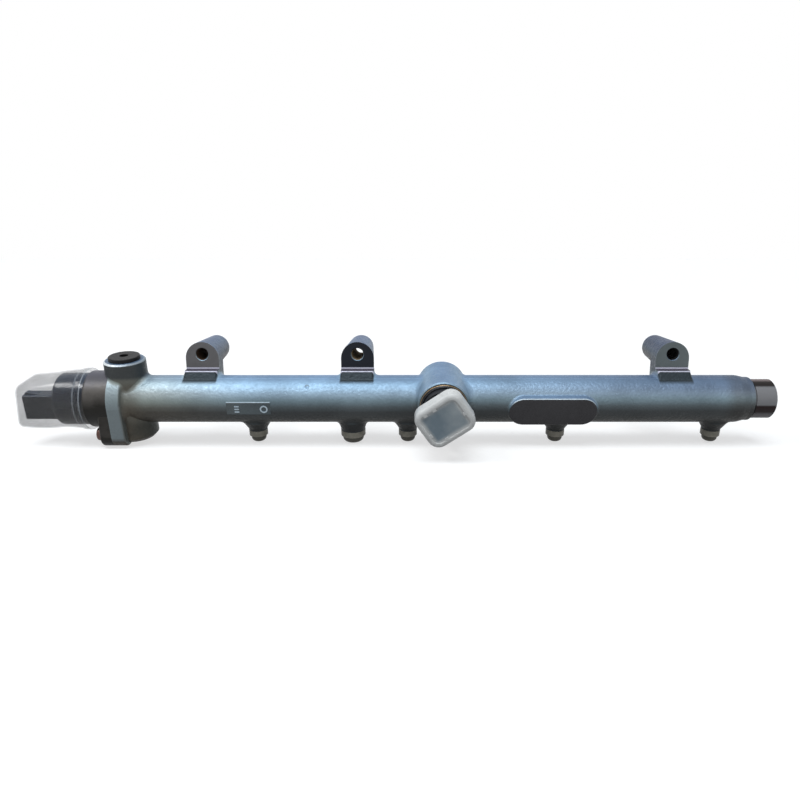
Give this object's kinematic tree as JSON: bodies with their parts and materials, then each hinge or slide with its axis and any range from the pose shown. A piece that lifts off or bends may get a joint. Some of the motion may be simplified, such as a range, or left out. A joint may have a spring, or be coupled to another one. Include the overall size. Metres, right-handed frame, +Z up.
{
  "type": "fuel rail",
  "caption": "Forged common-rail fuel rail with a pressure control valve, a pressure sensor, capped high-pressure stubs and bolt bosses.",
  "frame": {"origin": "centre of the middle bolt hole on the boss's rear seat", "axes": "+X along the rail from the control valve to the bright end spigot, +Y rearwards into the cylinder head, +Z up"},
  "size_m": [0.4795, 0.0862, 0.0657],
  "materials": {
    "forged_steel": "satin, zinc-flake coated forging",
    "dark_steel": "black oxide, satin",
    "bright_steel": "turned",
    "zinc_yellow": "yellow passivated",
    "copper_wire": "enamelled wire",
    "dark_plastic": "moulded, fine grain",
    "black_plastic": "moulded",
    "bobbin_plastic": "moulded",
    "board": "laminate",
    "tin_pins": "tin plated",
    "clear_plastic": "clear thin wall",
    "frosted_plastic": "frosted soft plastic",
    "cream_plastic": "natural soft plastic",
    "rubber_seal": "matt",
    "support_white": "smooth"
  },
  "bodies": {
    "root": {"rail_body": "forged_steel", "end_plug": "bright_steel", "return_plug": "rubber_seal", "valve_body": "dark_steel", "valve_o_ring": "rubber_seal", "valve_support_ring": "support_white", "valve_sealing_washer": "bright_steel", "valve_seat": "bright_steel", "valve_ball": "bright_steel", "valve_armature": "bright_steel", "valve_pole_core": "bright_steel", "valve_spring": "bright_steel", "valve_bobbin": "bobbin_plastic", "valve_winding": "copper_wire", "valve_screws": "zinc_yellow", "valve_connector": "dark_plastic", "valve_pins": "tin_pins", "valve_clear_cap": "clear_plastic", "sensor_body": "zinc_yellow", "sensor_washer": "copper_wire", "sensor_board": "board", "sensor_pins": "tin_pins", "sensor_housing": "black_plastic", "sensor_cap": "frosted_plastic", "inlet_cap": "cream_plastic", "outlet_cap_1": "cream_plastic", "outlet_cap_2": "cream_plastic", "outlet_cap_3": "cream_plastic", "outlet_cap_4": "cream_plastic"}
  },
  "joints": []
}
